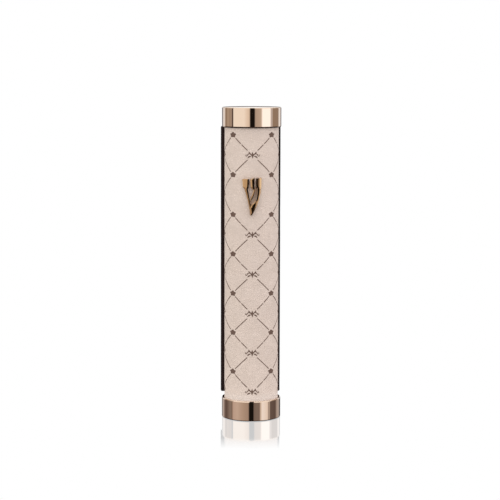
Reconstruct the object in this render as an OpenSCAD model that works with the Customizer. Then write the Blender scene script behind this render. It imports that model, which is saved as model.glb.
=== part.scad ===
// Mezuzah case: a tube wrapped in leatherette between two metal caps, with a letter on its
// front and a board along its back. The tube's axis is Z, the front is -Y, and the origin is
// the centre of the face that the case stands on.

/* [Case] */
// Height of the closed case
case_h = 150; // [122:1:180]
// Outside diameter of the rigid tube
tube_d = 24; // [20:0.5:32]
// Wall of the rigid tube
tube_wall = 1.5; // [1:0.05:2.5]
// Thickness of the leatherette round the tube
wrap_t = 0.95; // [0.5:0.05:1.5]
// Width of the leatherette's butt seam at the back
seam_w = 0.3; // [0.1:0.05:1]

/* [Caps] */
// Height of each cap
cap_h = 9.6; // [7.5:0.1:14]
// Wall of a cap's side
cap_wall = 1.1; // [0.8:0.05:2]
// Thickness of a cap's closed end
cap_floor = 1.5; // [0.8:0.1:2.5]
// Length of wrapped tube that a cap laps over
cap_lap = 3.6; // [1:0.1:4]
// Radius of a cap's outer edge round its closed end
cap_edge = 0.45; // [0.2:0.05:0.8]
// Height of the top cap's crown over that edge
cap_crown = 0.2; // [0.1:0.05:0.5]
// Radius of the lip round a cap's mouth
cap_lip = 0.15; // [0.1:0.05:0.35]
// Radial clearance of a cap round the wrapped tube
cap_gap = 0.1; // [0.05:0.01:0.3]

/* [Plugs] */
// Depth of the bottom plug's spigot in the tube
bottom_spigot = 7; // [4:0.5:12]
// Wall of the bottom plug's spigot
bottom_plug_wall = 2; // [1:0.1:3]
// Thickness of the chamber's floor in the bottom plug
chamber_floor = 2; // [1:0.1:2.5]
// Depth of the top plug's spigot in the tube
top_spigot = 8; // [6:0.5:14]
// Wall of the top plug's spigot
top_plug_wall = 3.3; // [2.8:0.1:5]
// Thickness of the top plug's closed end
top_plug_roof = 2; // [1:0.1:3]
// Radial clearance of the bottom plug's spigot in the tube
spigot_gap = 0.03; // [0.02:0.01:0.1]
// Radial clearance of the top plug's spigot in the tube
top_plug_gap = 0.2; // [0.1:0.05:0.4]
// Radial clearance of a plug's flange in its cap
flange_gap = 0.05; // [0.02:0.01:0.15]
// Chamfer of a spigot's leading edge
lead_in = 0.5; // [0.2:0.1:1]
// Thickness of the rubber ring's round section
ring_d = 1.5; // [1.2:0.1:1.8]
// Width that the groove has on each side of the ring
ring_side_gap = 0.25; // [0.1:0.05:0.5]
// Radial clearance of the ring against its groove
ring_seat_gap = 0.01; // [0.01:0.01:0.05]

/* [Scroll] */
// Space over the roll in its chamber
headroom = 9.4; // [5:0.1:20]
// Radial clearance of the sleeve in the bottom plug
scroll_gap = 1.3; // [0.8:0.1:2]
// Thickness of the clear film sleeve
sleeve_t = 0.15; // [0.1:0.05:0.3]
// Length of sleeve beyond each end of the roll
sleeve_over = 1; // [0.5:0.1:3]
// Thickness of the parchment
parchment_t = 0.3; // [0.2:0.05:0.35]
// Distance from one turn of the roll to the next
roll_pitch = 0.45; // [0.4:0.01:0.5]
// Radial clearance of the roll in its sleeve
roll_gap = 0.1; // [0.05:0.05:0.3]
// Thickness of the felt pad under the roll
pad_t = 1; // [0.5:0.1:2]
// Radial clearance of the felt pad
pad_gap = 0.2; // [0.1:0.05:0.5]

/* [Letter] */
// Height of the letter
letter_h = 17.9; // [12:0.1:22]
// Distance from the top of the case to the top of the letter
letter_drop = 33; // [20:0.5:50]
// Distance of the letter's lower tip to the left of the front's middle
letter_side = 0.65; // [0:0.05:1]
// Height of the letter's strokes over the leatherette
letter_t = 1.75; // [1.2:0.05:2.5]
// Thickness of the sunk web between two strokes
web_t = 0.6; // [0.3:0.05:1]
// Clearance of the letter's back over the leatherette
letter_gap = 0.02; // [0.01:0.01:0.1]
// Diameter of each of the letter's two studs
stud_d = 1.5; // [1:0.1:1.8]
// Radial clearance of a stud in its hole
stud_gap = 0.05; // [0.03:0.01:0.1]
// Distance that a stud stops short of the tube's bore
stud_short = 0.3; // [0.1:0.05:0.5]

/* [Back board] */
// Width of the wrapped board
board_w = 29; // [24:0.5:40]
// Thickness of the wrapped board
board_t = 3; // [2.7:0.1:6]
// Depth of the trough that the tube lies in
trough_depth = 1.5; // [1:0.1:1.6]
// Radius of the wrapped board's long edges
board_r = 1; // [0.7:0.1:1.2]
// Thickness of the leatherette round the board
board_wrap_t = 0.5; // [0.3:0.05:0.6]
// Clearance between the board and each cap
board_end_gap = 0.2; // [0.2:0.1:2]
// Thickness of the adhesive film in the trough
glue_t = 0.15; // [0.1:0.05:0.3]
// Distance from the film's ends to the board's
glue_inset = 3; // [1:0.5:10]

/* [Wall tape] */
// Width of a mounting tape
tape_w = 20; // [12:0.5:22]
// Height of a mounting tape
tape_h = 40; // [20:1:42]
// Thickness of a mounting tape
tape_t = 0.8; // [0.5:0.1:1.5]
// Distance from the board's end to its tape
tape_inset = 8; // [4:0.5:12]
// Thickness of a release liner
liner_t = 0.1; // [0.1:0.05:0.2]
// Width that a liner stands out at a tape's sides
liner_side = 0.5; // [0:0.1:1]
// Length that a liner stands out at a tape's ends
liner_tab = 1.5; // [0.5:0.1:2]
// Radius of the corners of tapes and liners
tape_r = 1.5; // [0.5:0.1:3]

/* [Hidden] */
$fn = 96;

eps = 0.01;                                     // overlap that joins or cuts through cleanly
bore_r = tube_d / 2 - tube_wall;
wrap_r = tube_d / 2 + wrap_t;
mouth_r = wrap_r + cap_gap;
cap_r = mouth_r + cap_wall;
flange_r = mouth_r - flange_gap;
flange_t = cap_h - cap_floor - cap_lap;
tube_z0 = cap_floor + flange_t;                 // the tube stands on the bottom plug's flange
tube_z1 = case_h - tube_z0;                     // and the top plug's flange seats on the tube

bottom_spigot_r = bore_r - spigot_gap;
chamber_r = bottom_spigot_r - bottom_plug_wall;
chamber_z = cap_floor + chamber_floor;
top_spigot_r = bore_r - top_plug_gap;
top_plug_bore_r = top_spigot_r - top_plug_wall;
top_plug_z = tube_z1 - top_spigot;
ring_r = bore_r - spigot_gap - ring_d / 2;      // radius of the ring's centre line
ring_z = top_plug_z + top_spigot / 2;

sleeve_r = chamber_r - scroll_gap;
sleeve_z0 = chamber_z + pad_t;
sleeve_z1 = top_plug_z - headroom;
roll_r = sleeve_r - sleeve_t - roll_gap;
roll_h = sleeve_z1 - sleeve_z0 - 2 * sleeve_over;
// A square parchment as long as it is tall fills a ring of area length times pitch.
roll_core_r = sqrt(pow(roll_r, 2) - roll_h * roll_pitch / PI);
roll_turns = (roll_r - parchment_t - roll_core_r) / roll_pitch;

letter_z = case_h - letter_drop - letter_h;     // the letter's lower tip
letter_back_r = wrap_r + letter_gap;
letter_front_r = wrap_r + letter_t;
stud_x = letter_h * 0.5 / 18 - letter_side;
stud_zs = [for (k = [4, 15]) letter_z + letter_h * k / 18];
stud_end_y = -(bore_r + stud_short);

board_y0 = wrap_r + glue_t - trough_depth;
board_y1 = board_y0 + board_t;
board_z0 = cap_h + board_end_gap;
board_z1 = case_h - board_z0;
trough_r = wrap_r + glue_t;
trough_x = sqrt(pow(trough_r, 2) - pow(board_y0, 2));
tape_z0 = board_z0 + tape_inset;
tape_z1 = board_z1 - tape_inset - tape_h;

// Points of a circle's arc about c, of radius r, from angle a to angle b
function arc(c, r, a, b, n = 6) =
    [for (i = [0:n]) c + r * [cos(a + (b - a) * i / n), sin(a + (b - a) * i / n)]];

// Points of a Bezier curve through p and s that leaves towards q and arrives from r
function curve(p, q, r, s, n = 8) =
    [for (i = [0:n]) let (t = i / n)
        pow(1 - t, 3) * p + 3 * t * pow(1 - t, 2) * q + 3 * t * t * (1 - t) * r + pow(t, 3) * s];

// The letter is drawn on a grid whose unit is an eighteenth of its height, from its lower tip.
left_outer = curve([-0.35, 0], [-1.1, 5], [-1.7, 8], [-3.2, 12.5]);
left_inner = curve([-1.6, 12.5], [-1.35, 10.2], [-0.85, 8.8], [-0.75, 6.8]);
middle_left = curve([-0.75, 6.8], [-0.1, 8.6], [0.8, 10], [1.15, 12.3]);
middle_right = curve([1.85, 12.3], [1.6, 9.9], [0.5, 8], [-0.6, 6.3]);
right_inner = curve([2.4, 7.1], [2.8, 8.8], [3.1, 10.5], [3.2, 12.8]);
right_outer = curve([4.6, 12.2], [4.3, 8.2], [2.6, 3.6], [0.15, 0]);
crotch = [-0.3, 4.3];
letter_outline = concat(
    left_outer, [[-4, 13.6], [-4.25, 17.2], [-1.05, 17.4], [-1.2, 13.6]],
    left_inner, middle_left,
    [[0.5, 12.4], [-0.25, 13.5], [-0.45, 17], [1.55, 17.9], [1.4, 13.5]],
    middle_right, [crotch], right_inner,
    [[2.6, 13], [2.3, 14.8], [2.3, 17.6], [4.85, 17.8], [4.8, 13.6]],
    right_outer);
web_outline = concat(middle_right, [crotch], right_inner, [[3.3, 13.4], [1.3, 13.4]]);

// An upright solid of revolution's ring between two radii
module ring(outer_r, inner_r, z0, z1) {
    difference() {
        translate([0, 0, z0]) cylinder(r = outer_r, h = z1 - z0);
        translate([0, 0, z0 - 1]) cylinder(r = inner_r, h = z1 - z0 + 2);
    }
}

// A cup that stands on its closed end, with a rounded edge and lip. The end is flat, or stands out
// by a crown in its middle.
module cap_cup(crown) {
    flat_r = cap_r - cap_edge;
    end = crown == 0 ? [[0, 0]] : [for (i = [0:7]) [flat_r * i / 8, crown * pow(i / 8, 2)]];
    edge = arc([flat_r, crown + cap_edge], cap_edge, -90, 0);
    lip = arc([cap_r - cap_lip, cap_h - cap_lip], cap_lip, 0, 90);
    rotate_extrude()
        polygon(concat(end, edge, lip, [[mouth_r, cap_h], [mouth_r, cap_floor], [0, cap_floor]]));
}

// A flange that stands on z = 0 with a hollow spigot over it, both given by their radii
module plug(spigot_r, spigot_h, hollow_r, floor_t) {
    top = flange_t + spigot_h;
    rotate_extrude()
        polygon([[0, 0], [flange_r, 0], [flange_r, flange_t], [spigot_r, flange_t],
            [spigot_r, top - lead_in], [spigot_r - lead_in, top], [hollow_r, top],
            [hollow_r, floor_t], [0, floor_t]]);
}

// Turns what stands at the foot of the case over to its head
module at_head() {
    translate([0, 0, case_h]) mirror([0, 0, 1]) children();
}

// The two holes through the front that the letter's studs sit in
module stud_holes() {
    for (z = stud_zs)
        translate([stud_x, 0, z]) rotate([90, 0, 0])
            cylinder(d = stud_d + 2 * stud_gap, h = wrap_r + 1);
}

// A stroke of the letter's grid as a solid between two radii of the case
module letter_layer(points, back_r, front_r) {
    intersection() {
        ring(front_r, back_r, letter_z - 1, letter_z + letter_h + 1);
        translate([-letter_side, 0, letter_z]) rotate([90, 0, 0])
            linear_extrude(wrap_r + letter_t + 1) polygon(points * letter_h / 18);
    }
}

// The board's block, made smaller on every side by the given amount
module board_block(inset) {
    w = board_w / 2 - inset;
    r = board_r - inset;
    y0 = board_y0 + inset;
    y1 = board_y1 - inset;
    translate([0, 0, board_z0 + inset])
        linear_extrude(board_z1 - board_z0 - 2 * inset)
            polygon(concat(arc([w - r, y0 + r], r, -90, 0), arc([w - r, y1 - r], r, 0, 90),
                arc([r - w, y1 - r], r, 90, 180), arc([r - w, y0 + r], r, 180, 270)));
}

// The round trough that the tube lies in
module trough() {
    translate([0, 0, board_z0 - 1]) cylinder(r = trough_r, h = board_z1 - board_z0 + 2);
}

// A sheet with round corners that stands against the plane y = y0, centred on x = 0
module wall_sheet(w, h, t, y0, z0) {
    translate([0, y0 + t, z0]) rotate([90, 0, 0]) linear_extrude(t)
        polygon(concat(arc([w / 2 - tape_r, tape_r], tape_r, -90, 0),
            arc([w / 2 - tape_r, h - tape_r], tape_r, 0, 90),
            arc([tape_r - w / 2, h - tape_r], tape_r, 90, 180),
            arc([tape_r - w / 2, tape_r], tape_r, 180, 270)));
}

module wall_tape(z0) {
    color("darkgray") wall_sheet(tape_w, tape_h, tape_t, board_y1, z0);
}

module tape_liner(z0) {
    color("aliceblue")
        wall_sheet(tape_w + 2 * liner_side, tape_h + 2 * liner_tab, liner_t, board_y1 + tape_t,
            z0 - liner_tab);
}

module bottom_cap() {
    color("rosybrown") cap_cup(0);
}

module top_cap() {
    color("rosybrown") at_head() cap_cup(cap_crown);
}

module bottom_plug() {
    color("dimgray") translate([0, 0, cap_floor])
        plug(bottom_spigot_r, bottom_spigot, chamber_r, chamber_floor);
}

module top_cap_plug() {
    groove_r = ring_r - ring_d / 2 - ring_seat_gap;
    groove_h = ring_d + 2 * ring_side_gap;
    color("dimgray") difference() {
        at_head() translate([0, 0, cap_floor])
            plug(top_spigot_r, top_spigot, top_plug_bore_r, top_plug_roof);
        ring(bore_r, groove_r, ring_z - groove_h / 2, ring_z + groove_h / 2);
    }
}

module plug_o_ring() {
    color("black") translate([0, 0, ring_z]) rotate_extrude()
        translate([ring_r, 0]) circle(d = ring_d, $fn = 24);
}

module chamber_pad() {
    color("maroon") translate([0, 0, chamber_z]) cylinder(r = chamber_r - pad_gap, h = pad_t);
}

module tube_core() {
    color("gainsboro") difference() {
        ring(tube_d / 2, bore_r, tube_z0, tube_z1);
        stud_holes();
    }
}

module leather_wrap() {
    color("antiquewhite") difference() {
        ring(wrap_r, tube_d / 2, tube_z0, tube_z1);
        stud_holes();
        translate([-seam_w / 2, 0, tube_z0 - 1]) cube([seam_w, wrap_r + 1, tube_z1 - tube_z0 + 2]);
    }
}

module emblem_letter() {
    color("goldenrod") {
        letter_layer(letter_outline, letter_back_r, letter_front_r);
        letter_layer(web_outline, letter_back_r, letter_back_r + web_t);
        for (z = stud_zs)
            translate([stud_x, stud_end_y, z]) rotate([90, 0, 0])
                cylinder(d = stud_d, h = letter_back_r + web_t / 2 + stud_end_y);
    }
}

module back_board() {
    color("peru") difference() {
        board_block(board_wrap_t);
        trough();
    }
}

module back_board_wrap() {
    color("saddlebrown") difference() {
        board_block(0);
        board_block(board_wrap_t);
        trough();
        translate([-trough_x, board_y0 - 1, board_z0 + board_wrap_t])
            cube([2 * trough_x, 1 + board_wrap_t + eps, board_z1 - board_z0 - 2 * board_wrap_t]);
    }
}

module saddle_adhesive() {
    half_w = trough_x - 2 * glue_t;
    color("khaki") intersection() {
        ring(trough_r, wrap_r, board_z0 + glue_inset, board_z1 - glue_inset);
        translate([-half_w, 0, board_z0]) cube([2 * half_w, trough_r + 1, board_z1 - board_z0]);
    }
}

module wall_tape_upper() {
    wall_tape(tape_z1);
}

module wall_tape_lower() {
    wall_tape(tape_z0);
}

module tape_liner_upper() {
    tape_liner(tape_z1);
}

module tape_liner_lower() {
    tape_liner(tape_z0);
}

// The roll's section is a strip of even thickness along a spiral.
module scroll_parchment() {
    steps = ceil(roll_turns * 32);
    function spiral(i, out) = let (a = 360 * roll_turns * i / steps)
        (roll_core_r + roll_pitch * a / 360 + out) * [cos(a), sin(a)];
    color("wheat") translate([0, 0, sleeve_z0 + sleeve_over]) linear_extrude(roll_h)
        polygon(concat([for (i = [0:steps]) spiral(i, parchment_t)],
            [for (i = [steps:-1:0]) spiral(i, 0)]));
}

module scroll_sleeve() {
    color("lightcyan") ring(sleeve_r, sleeve_r - sleeve_t, sleeve_z0, sleeve_z1);
}

top_cap();
top_cap_plug();
plug_o_ring();
bottom_cap();
bottom_plug();
chamber_pad();
tube_core();
leather_wrap();
emblem_letter();
back_board();
back_board_wrap();
saddle_adhesive();
wall_tape_upper();
wall_tape_lower();
tape_liner_upper();
tape_liner_lower();
scroll_parchment();
scroll_sleeve();
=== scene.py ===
"""Looks of a mezuzah case: leatherette round a tube, two polished caps, a gold letter and a back board.

Lengths in the maker's functions are millimetres in the frame of the case: the tube's axis is Z, the
front is -Y, and the case stands on z = 0. MM turns them into the metres that the scene is in. Sizes
come from the frame's boxes, so every piece follows the design it is laid over.
"""

import math

import bmesh
import bpy
import numpy as np
from mathutils import Matrix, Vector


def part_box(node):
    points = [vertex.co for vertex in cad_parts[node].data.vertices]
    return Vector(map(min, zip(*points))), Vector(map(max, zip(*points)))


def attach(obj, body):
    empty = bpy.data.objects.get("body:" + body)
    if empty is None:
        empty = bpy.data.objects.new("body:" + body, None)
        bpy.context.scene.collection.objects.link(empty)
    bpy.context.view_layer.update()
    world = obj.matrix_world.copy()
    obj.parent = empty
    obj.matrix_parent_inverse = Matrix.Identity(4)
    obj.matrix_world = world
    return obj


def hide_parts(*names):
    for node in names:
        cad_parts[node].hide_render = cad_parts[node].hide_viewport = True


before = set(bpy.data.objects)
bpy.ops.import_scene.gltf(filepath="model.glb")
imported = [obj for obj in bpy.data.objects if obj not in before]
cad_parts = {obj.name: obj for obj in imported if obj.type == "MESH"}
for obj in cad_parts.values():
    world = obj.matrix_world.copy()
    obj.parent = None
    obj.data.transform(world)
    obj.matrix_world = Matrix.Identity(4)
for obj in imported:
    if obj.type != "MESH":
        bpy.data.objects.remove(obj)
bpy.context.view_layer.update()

MM = 0.001
TAU = 2 * math.pi


# ---------------------------------------------------------------- sizes, read from the frame

def extent(node, axis):
    """Lowest and highest coordinate of a node along an axis, in millimetres."""
    low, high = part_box(node)
    return low["xyz".index(axis)] / MM, high["xyz".index(axis)] / MM


def middle(node, axis):
    """Middle of a node along an axis, in millimetres."""
    return sum(extent(node, axis)) / 2


def span(node, axis):
    """Size of a node along an axis, in millimetres."""
    low, high = extent(node, axis)
    return high - low


CASE_TOP = extent("top_cap", "z")[1]
CAP_H = extent("bottom_cap", "z")[1]
CAP_R = extent("bottom_cap", "x")[1]
TUBE_Z = extent("tube_core", "z")
TUBE_R = extent("tube_core", "x")[1]
WRAP_R = extent("leather_wrap", "x")[1]
CAP_GAP = 0.1                   # between a cap's mouth and the wrapped tube
MOUTH_R = WRAP_R + CAP_GAP
TUBE_WALL = 1.5
BORE_R = TUBE_R - TUBE_WALL
CAP_FLOOR = extent("bottom_plug", "z")[0]


# ---------------------------------------------------------------- meshes from arrays

def grid_faces(rows, cols, wrap_rows=False, wrap_cols=False, start=0):
    """Quads of a grid of points stored row by row. A wrapped direction joins its last line to its first."""
    i = np.arange(rows if wrap_rows else rows - 1)[:, None]
    j = np.arange(cols if wrap_cols else cols - 1)[None, :]
    i2, j2 = (i + 1) % rows, (j + 1) % cols
    quads = np.stack([i * cols + j, i * cols + j2, i2 * cols + j2, i2 * cols + j], axis=-1)
    return quads.reshape(-1, 4) + start


def sheet_faces(rows, cols, ends=True):
    """Faces of a sheet with a thickness, whose outer grid of points is followed by its inner one. They
    look outwards when the way from row to row, crossed with the way from column to column, points out
    of the sheet. Walls join the two grids along the first and last column and, unless the sheet closes
    to a line there, along the first and last row."""
    n = rows * cols
    i, j = np.arange(rows - 1) * cols, np.arange(cols - 1)
    faces = [
        grid_faces(rows, cols)[:, ::-1], grid_faces(rows, cols, start=n),
        np.stack([i + cols, i, i + n, i + cols + n], axis=1),
        np.stack([i, i + cols, i + cols + n, i + n], axis=1) + cols - 1,
    ]
    if ends:
        faces.append(np.stack([j, j + 1, j + 1 + n, j + n], axis=1))
        faces.append(np.stack([j + 1, j, j + n, j + 1 + n], axis=1) + (rows - 1) * cols)
    return faces


def join(parts):
    """Joins (points, faces) pairs into one, where each faces entry is a list of face arrays."""
    points, faces, count = [], [], 0
    for p, face_sets in parts:
        points.append(p)
        faces += [f + count for f in face_sets]
        count += len(p)
    return np.concatenate(points), faces


def piece(name, points, faces, material, body, node=None, crease=35, merge=0.0):
    """Makes a piece from points in millimetres and a list of face arrays, smooth except at creases.
    It rides on its body and stands for its CAD node."""
    mesh = bpy.data.meshes.new(name)
    mesh.from_pydata((points * MM).tolist(), [], [f for fs in faces for f in fs.tolist()])
    if merge:
        weld(mesh, merge * MM)
    mesh.polygons.foreach_set("use_smooth", np.ones(len(mesh.polygons), bool))
    mesh.set_sharp_from_angle(angle=math.radians(crease))
    mesh.materials.append(material)
    mesh.validate()
    mesh.update()
    ob = bpy.data.objects.new(name, mesh)
    bpy.context.scene.collection.objects.link(ob)
    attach(ob, body)
    if node:
        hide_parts(node)
    return ob


def weld(mesh, distance):
    """Joins points that lie together, such as a closed seam's or a pole's."""
    bm = bmesh.new()
    bm.from_mesh(mesh)
    bmesh.ops.remove_doubles(bm, verts=bm.verts, dist=distance)
    bmesh.ops.dissolve_degenerate(bm, edges=bm.edges, dist=distance)
    bm.to_mesh(mesh)
    bm.free()


def arc(cx, cy, r, start, end, steps=8):
    """Points on a circle about (cx, cy) from one angle to another, in degrees."""
    a = np.radians(np.linspace(start, end, steps + 1))
    return np.stack([cx + r * np.cos(a), cy + r * np.sin(a)], axis=1)


def line(p, q, steps):
    """Points from p to q in even steps, both ends included."""
    t = np.linspace(0, 1, steps + 1)[:, None]
    return np.asarray(p) * (1 - t) + np.asarray(q) * t


def bezier(p, q, r, s, steps=12):
    """Points of a Bezier curve through p and s that leaves towards q and arrives from r."""
    t = np.linspace(0, 1, steps + 1)[:, None]
    p, q, r, s = (np.asarray(v, float) for v in (p, q, r, s))
    return (1 - t) ** 3 * p + 3 * t * (1 - t) ** 2 * q + 3 * t ** 2 * (1 - t) * r + t ** 3 * s


def lathe(profile, segments=160):
    """A closed solid of revolution: each profile point (radius, height) goes round the Z axis. A profile
    that starts and ends on the axis gets a pole there; any other is closed on itself."""
    profile = np.asarray(profile, float)
    poled = profile[0, 0] < 1e-9 and profile[-1, 0] < 1e-9
    ring = profile[1:-1] if poled else profile
    a = np.arange(segments) * TAU / segments
    r, z = ring[:, :1], ring[:, 1:]
    points = np.stack([r * np.cos(a), r * np.sin(a), z + 0 * a], axis=-1).reshape(-1, 3)
    faces = [grid_faces(len(ring), segments, wrap_rows=not poled, wrap_cols=True)]
    if poled:
        j = np.arange(segments)
        k, last = (j + 1) % segments, (len(ring) - 1) * segments
        poles = np.array([[0, 0, profile[0, 1]], [0, 0, profile[-1, 1]]])
        faces.append(np.stack([np.full(segments, len(points)), k, j], axis=1))
        faces.append(np.stack([np.full(segments, len(points) + 1), j + last, k + last], axis=1))
        points = np.concatenate([points, poles])
    return points, faces


# ---------------------------------------------------------------- shader building blocks

def new_group(name, inputs, outputs):
    """A shader node group with float, colour or vector sockets, and its input and output nodes."""
    kinds = {"v": "NodeSocketFloat", "c": "NodeSocketColor", "p": "NodeSocketVector"}
    tree = bpy.data.node_groups.new(name, "ShaderNodeTree")
    for label, kind, *default in inputs:
        socket = tree.interface.new_socket(label, in_out="INPUT", socket_type=kinds[kind])
        if default:
            socket.default_value = default[0]
    for label, kind in outputs:
        tree.interface.new_socket(label, in_out="OUTPUT", socket_type=kinds[kind])
    return tree, tree.nodes.new("NodeGroupInput"), tree.nodes.new("NodeGroupOutput")


def feed(tree, socket, value):
    """Links a socket to the socket given, or sets it to the value given."""
    if isinstance(value, bpy.types.NodeSocket):
        tree.links.new(value, socket)
    else:
        socket.default_value = value


def add(tree, kind, links=(), **settings):
    """Adds a node; links are (input, source socket or value) pairs, settings its properties."""
    node = tree.nodes.new("ShaderNode" + kind)
    for key, value in settings.items():
        setattr(node, key, value)
    for key, value in links:
        feed(tree, node.inputs[key], value)
    return node


def math_node(tree, operation, *values, clamp=False):
    """Output of a Math node over sockets or numbers."""
    return add(tree, "Math", list(enumerate(values)), operation=operation, use_clamp=clamp).outputs[0]


def noise(tree, place, scale, detail, **more):
    """Output of a Noise Texture at a place."""
    links = [("Vector", place), ("Scale", scale), ("Detail", detail), *more.items()]
    return add(tree, "TexNoise", links).outputs["Fac"]


def remap(tree, value, low, high, start=0.0, end=1.0, **settings):
    """Output of a Map Range node: start at low, end at high, and held beyond them."""
    links = [("Value", value), ("From Min", low), ("From Max", high), ("To Min", start), ("To Max", end)]
    return add(tree, "MapRange", links, **settings).outputs[0]


def ramp(tree, value, stops):
    """Output of a Color Ramp over (position, colour) stops."""
    node = add(tree, "ValToRGB", [("Fac", value)])
    elements = node.color_ramp.elements
    while len(elements) < len(stops):
        elements.new(0.5)
    for element, (position, colour) in zip(elements, stops):
        element.position = position
        element.color = (*colour, 1)
    return node.outputs["Color"]


def mix_colour(tree, factor, a, b, blend="MIX"):
    """Output of a colour Mix node."""
    node = add(tree, "Mix", data_type="RGBA", blend_type=blend)
    for key, value in ((0, factor), (6, a), (7, b)):
        feed(tree, node.inputs[key], (*value, 1) if isinstance(value, tuple) else value)
    return node.outputs[2]


def material(name, base, roughness, metallic=0.0, **plain):
    """A material with its tree, Principled shader and Object coordinates. Plain values go on the
    shader's own sockets."""
    mat = bpy.data.materials.new(name)
    mat.use_nodes = True
    tree = mat.node_tree
    shader = tree.nodes["Principled BSDF"]
    shader.inputs["Base Color"].default_value = (*base, 1)
    shader.inputs["Roughness"].default_value = roughness
    shader.inputs["Metallic"].default_value = metallic
    for key, value in plain.items():
        shader.inputs[key.replace("_", " ")].default_value = value
    place = add(tree, "TexCoord").outputs["Object"]
    mat.diffuse_color = (*base, 1)
    return mat, tree, shader, place


def bump(tree, shader, height, depth):
    """Feeds the shader's normal from a height between 0 and 1 and its depth in millimetres."""
    node = add(tree, "Bump", [("Height", height), ("Strength", 1.0), ("Distance", depth * MM)])
    tree.links.new(node.outputs["Normal"], shader.inputs["Normal"])


def grain_group():
    """Leather grain: pebbles whose height falls near their cells' edges, short slanting creases drawn
    out of a stretched noise, and fine noise over both. Wide noise makes some patches flatter."""
    tree, inp, out = new_group(
        "leather_grain",
        [("Place", "p"), ("Cells per metre", "v", 2500.0), ("Creases", "v", 0.6)],
        [("Height", "v")],
    )
    spot, scale = inp.outputs["Place"], inp.outputs["Cells per metre"]
    warp = add(tree, "TexNoise", [("Vector", spot), ("Scale", scale), ("Detail", 2.0)])
    shifted = add(tree, "VectorMath", [(0, warp.outputs["Color"]), ("Scale", 0.00025)], operation="SCALE")
    place = add(tree, "VectorMath", [(0, spot), (1, shifted.outputs[0])], operation="ADD").outputs[0]
    cells = add(tree, "TexVoronoi", [("Vector", place), ("Scale", scale)], feature="DISTANCE_TO_EDGE")
    pebble = remap(tree, cells.outputs["Distance"], 0.0, 0.35, interpolation_type="SMOOTHSTEP")
    drawn = add(tree, "Mapping", [("Vector", place), ("Rotation", (0.3, 0.45, 0.2)),
                                  ("Scale", (0.35, 0.35, 1.0))]).outputs[0]
    folds = noise(tree, drawn, math_node(tree, "MULTIPLY", scale, 0.8), 3.0, Roughness=0.65)
    fine = noise(tree, spot, math_node(tree, "MULTIPLY", scale, 3.1), 3.0)
    wide = noise(tree, spot, math_node(tree, "MULTIPLY", scale, 0.08), 3.0)
    patch = remap(tree, wide, 0.35, 0.65)
    height = math_node(tree, "MULTIPLY_ADD", pebble, 0.35, math_node(tree, "MULTIPLY", fine, 0.3))
    height = math_node(tree, "MULTIPLY_ADD", folds, inp.outputs["Creases"], height)
    depth = math_node(tree, "MULTIPLY_ADD", patch, -0.35, 1.0)
    tree.links.new(math_node(tree, "MULTIPLY", height, depth), out.inputs["Height"])
    return tree


def polish_group():
    """Wear of a polished metal: hairlines drawn out along one direction and wide soft smudges."""
    tree, inp, out = new_group(
        "polish_wear",
        [("Place", "p"), ("Stretch", "p", (1.0, 1.0, 1.0)), ("Base", "v", 0.06), ("Wear", "v", 0.06)],
        [("Roughness", "v"), ("Height", "v")],
    )
    drawn = add(tree, "VectorMath", [(0, inp.outputs["Place"]), (1, inp.outputs["Stretch"])],
                operation="MULTIPLY").outputs[0]
    hair = noise(tree, drawn, 9000.0, 4.0)
    spots = remap(tree, noise(tree, inp.outputs["Place"], 160.0, 3.0), 0.45, 0.75)
    worn = math_node(tree, "ADD", spots, remap(tree, hair, 0.55, 0.8))
    worn = math_node(tree, "MULTIPLY", worn, inp.outputs["Wear"])
    tree.links.new(math_node(tree, "ADD", inp.outputs["Base"], worn), out.inputs["Roughness"])
    tree.links.new(hair, out.inputs["Height"])
    return tree


def mottle_group():
    """Two tones of a colour mixed by noise, with fine speckle over it."""
    tree, inp, out = new_group(
        "mottle",
        [("Place", "p"), ("Scale", "v", 300.0), ("Light", "c"), ("Dark", "c"), ("Speckle", "v", 0.15)],
        [("Color", "c"), ("Amount", "v")],
    )
    place, scale = inp.outputs["Place"], inp.outputs["Scale"]
    spread = remap(tree, noise(tree, place, scale, 4.0), 0.3, 0.7)
    dots = noise(tree, place, math_node(tree, "MULTIPLY", scale, 14.0), 2.0)
    speck = math_node(tree, "MULTIPLY", remap(tree, dots, 0.4, 0.6), inp.outputs["Speckle"])
    amount = math_node(tree, "ADD", spread, speck, clamp=True)
    tree.links.new(mix_colour(tree, amount, inp.outputs["Light"], inp.outputs["Dark"]), out.inputs["Color"])
    tree.links.new(amount, out.inputs["Amount"])
    return tree


GRAIN = grain_group()
POLISH = polish_group()
MOTTLE = mottle_group()


def placed(tree, group, links):
    """Places a node group in a material with its own values."""
    node = tree.nodes.new("ShaderNodeGroup")
    node.node_tree = group
    for key, value in links:
        feed(tree, node.inputs[key], value)
    return node


def mottled(tree, place, scale, light, dark, speckle):
    """A material's two tones, mottled."""
    return placed(tree, MOTTLE, [("Place", place), ("Scale", scale), ("Light", (*light, 1)),
                                 ("Dark", (*dark, 1)), ("Speckle", speckle)])


# ---------------------------------------------------------------- materials

def lip_shadow_and_glow(tree, place, colour, low, high):
    """The colour with painted light in two bands of height: a fine dark line of painted shadow under the
    upper cap's lip, and a paler ring of painted bounce light that fades over four millimetres above the lower
    lip."""
    height = add(tree, "SeparateXYZ", [("Vector", place)]).outputs["Z"]
    off = math_node(tree, "ABSOLUTE", math_node(tree, "SUBTRACT", height, high * MM))
    # painted shadow: a near-black line about a tenth of a millimetre either side of the upper cap's lip
    # height
    dark = remap(tree, off, 0.22 * MM, 0.34 * MM, 1.0, 0.0)
    # painted bounce light: the leatherette made paler over four millimetres above the lower cap's lip
    ring = remap(tree, height, low * MM, (low + 4) * MM, 0.22, 0.0)
    bounce_lit = mix_colour(tree, ring, colour, (1.0, 0.96, 0.92))
    return mix_colour(tree, dark, bounce_lit, (0.02, 0.013, 0.011))


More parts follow.
